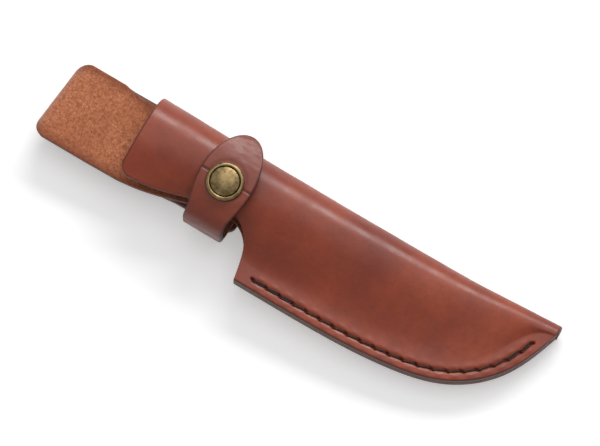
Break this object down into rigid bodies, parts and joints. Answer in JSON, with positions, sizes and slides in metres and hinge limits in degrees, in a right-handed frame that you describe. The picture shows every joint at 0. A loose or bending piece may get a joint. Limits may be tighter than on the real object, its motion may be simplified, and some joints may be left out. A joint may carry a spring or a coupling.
{
  "type": "knife sheath",
  "caption": "Folded brown leather sheath for a fixed-blade knife, with a welted and stitched edge, a belt loop and a retaining strap that closes on a brass snap.",
  "frame": {"origin": "centre of the overall box in plan, on the outer face of the belt loop", "axes": "+X from the belt loop to the tip, +Y towards the folded spine, +Z out of the front panel with the snap"},
  "size_m": [0.2159, 0.0503, 0.0354],
  "materials": {
    "leather": "waxed vegetable-tanned, satin",
    "strap_leather": "waxed vegetable-tanned, satin",
    "thread": "waxed braided thread",
    "snap_brass": "antique brass, satin",
    "spring_wire": "drawn wire"
  },
  "bodies": {
    "sheath": {"pouch_body": "leather", "welt": "leather", "strap_base": "strap_leather", "seam_thread_front": "thread", "seam_thread_back": "thread", "strap_thread_inside": "thread", "strap_thread_outside": "thread", "snap_stud": "snap_brass", "snap_post": "snap_brass"},
    "flap": {"strap_flap": "strap_leather", "snap_cap": "snap_brass", "snap_socket": "snap_brass", "snap_spring": "spring_wire"}
  },
  "joints": [
    {"name": "strap_bend", "type": "hinge", "parent": "sheath", "child": "flap", "pos_m": [-0.0307, -0.01013, 0.02823], "axis": [1, 0, 0], "range_deg": [0, 150]}
  ]
}
